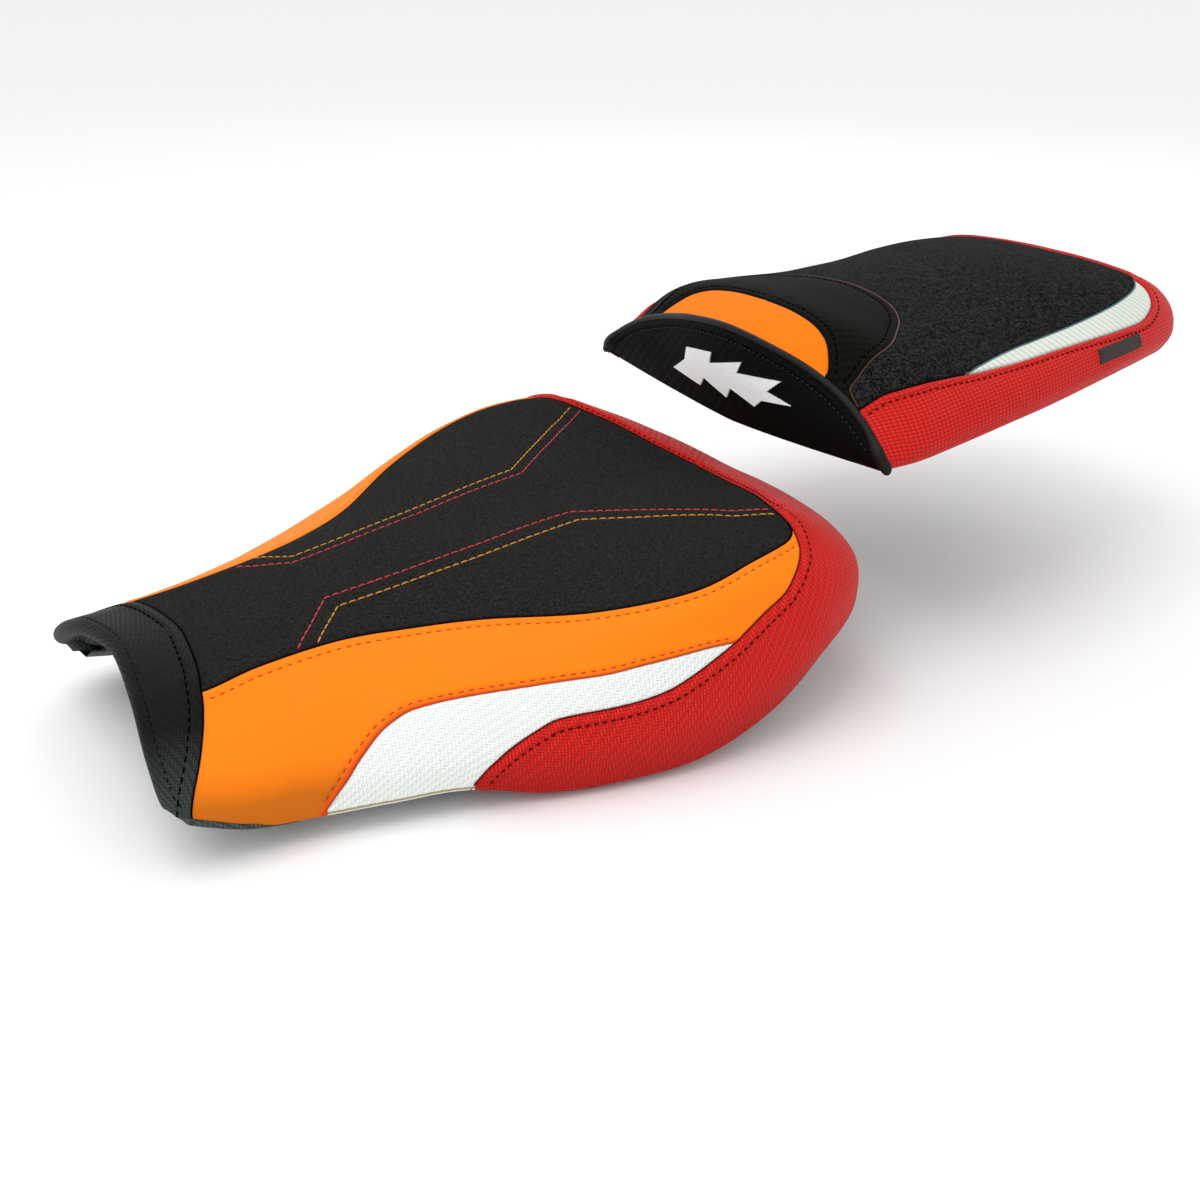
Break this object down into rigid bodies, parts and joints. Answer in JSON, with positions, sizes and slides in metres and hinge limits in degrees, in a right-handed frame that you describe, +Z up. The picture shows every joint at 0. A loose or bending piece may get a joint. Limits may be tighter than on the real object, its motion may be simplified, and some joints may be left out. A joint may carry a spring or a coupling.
{
  "type": "motorcycle seat",
  "caption": "Sport motorcycle rider seat with a raised pillion seat behind it: stitched multi-panel covers over foam on moulded pans, with feet, tongue, bolts and a latch striker.",
  "frame": {"origin": "middle of the bottom face of the rider seat's centre pad, on the seat's centre plane and on the plane the rider seat's feet stand on", "axes": "+X forward towards the rider seat's nose and the fuel tank, +Y towards the rider's left, +Z up; the pillion seat is behind (-X) and above"},
  "size_m": [0.6227, 0.301, 0.1694],
  "materials": {
    "band_red": "twill-embossed, satin",
    "foam": "open-cell moulded foam",
    "insert_white": "twill-embossed",
    "leather_black": "grained",
    "ornament_white": "printed raised film",
    "pan_plastic": "moulded, light texture",
    "rubber_black": "matte",
    "side_orange": "smooth coated leather, satin",
    "suede_black": "suede-like, fine nap",
    "tag_black": "woven tag, blank",
    "weave_black": "fine woven pattern",
    "zinc_steel": "zinc plated"
  },
  "bodies": {
    "rider_seat": {"rider_base_pan": "pan_plastic", "rider_bracket_rivet_left": "zinc_steel", "rider_bracket_rivet_right": "zinc_steel", "rider_bumper_front_left": "rubber_black", "rider_bumper_front_right": "rubber_black", "rider_bumper_rear_left": "rubber_black", "rider_bumper_rear_right": "rubber_black", "rider_collar_left": "zinc_steel", "rider_collar_right": "zinc_steel", "rider_foam": "foam", "rider_front_tongue": "zinc_steel", "rider_mount_bracket_left": "zinc_steel", "rider_mount_bracket_right": "zinc_steel", "rider_nose_band": "leather_black", "rider_rear_band": "band_red", "rider_side_insert_left": "insert_white", "rider_side_insert_right": "insert_white", "rider_side_panel_left": "side_orange", "rider_side_panel_right": "side_orange", "rider_tongue_rivet_left": "zinc_steel", "rider_tongue_rivet_right": "zinc_steel", "rider_top_panel": "suede_black"},
    "pillion_seat": {"pillion_arch_panel": "leather_black", "pillion_base_pan": "pan_plastic", "pillion_bumper_front_left": "rubber_black", "pillion_bumper_front_right": "rubber_black", "pillion_bumper_rear_left": "rubber_black", "pillion_bumper_rear_right": "rubber_black", "pillion_emblem": "ornament_white", "pillion_foam": "foam", "pillion_front_insert": "side_orange", "pillion_front_panel": "weave_black", "pillion_insert_left": "insert_white", "pillion_insert_right": "insert_white", "pillion_piping": "leather_black", "pillion_prong_left": "zinc_steel", "pillion_prong_right": "zinc_steel", "pillion_prong_screw_left": "zinc_steel", "pillion_prong_screw_right": "zinc_steel", "pillion_side_band": "band_red", "pillion_side_tag": "tag_black", "pillion_striker": "zinc_steel", "pillion_striker_plate": "zinc_steel", "pillion_striker_screw_front": "zinc_steel", "pillion_striker_screw_rear": "zinc_steel", "pillion_top_panel": "suede_black"},
    "rider_bolt_left": {"rider_bolt_left": "zinc_steel"},
    "rider_bolt_right": {"rider_bolt_right": "zinc_steel"}
  },
  "joints": [
    {"name": "pillion_tilt", "type": "hinge", "parent": "rider_seat", "child": "pillion_seat", "pos_m": [-0.406, 0, 0.1045], "axis": [0, -1, 0], "range_deg": [0, 35]},
    {"name": "rider_bolt_left_turn", "type": "hinge", "parent": "rider_seat", "child": "rider_bolt_left", "pos_m": [-0.163, 0.047, 0.03], "axis": [0, 0, 1], "continuous": true},
    {"name": "rider_bolt_right_turn", "type": "hinge", "parent": "rider_seat", "child": "rider_bolt_right", "pos_m": [-0.163, -0.047, 0.03], "axis": [0, 0, 1], "continuous": true}
  ]
}
